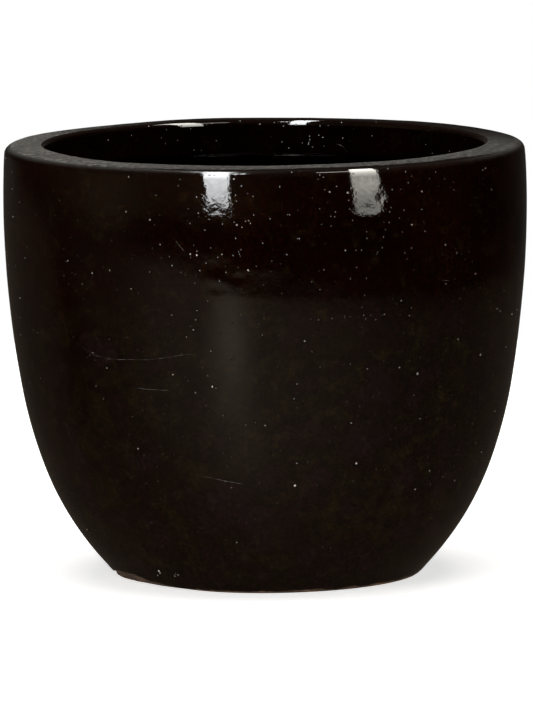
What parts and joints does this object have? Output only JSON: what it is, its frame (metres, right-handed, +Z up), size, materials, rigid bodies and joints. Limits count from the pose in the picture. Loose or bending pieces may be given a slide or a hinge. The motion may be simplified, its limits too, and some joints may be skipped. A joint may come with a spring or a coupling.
{
  "type": "clay pot",
  "caption": "Wide round glazed clay pot with a thick flat-topped rim, full belly that narrows to a small foot ring, and a drain hole in its floor.",
  "frame": {"origin": "centre of the foot, on the surface that the pot stands on", "axes": "+Z up along the pot's axis of revolution, out of the mouth; X and Y are equal"},
  "size_m": [0.4499, 0.45, 0.372],
  "materials": {
    "fired_clay": "matte",
    "glaze_gloss_black": "gloss",
    "glaze_dry_rim": "satin"
  },
  "bodies": {
    "root": {"foot_ring": "fired_clay", "floor_slab": "fired_clay", "corner_coil": "fired_clay", "heel_course": "fired_clay", "lower_course": "fired_clay", "middle_course": "fired_clay", "upper_course": "fired_clay", "belly_course": "fired_clay", "shoulder_course": "fired_clay", "rim_coil": "fired_clay", "outer_glaze": "glaze_gloss_black", "inner_glaze": "glaze_gloss_black", "rim_glaze": "glaze_dry_rim"}
  },
  "joints": []
}
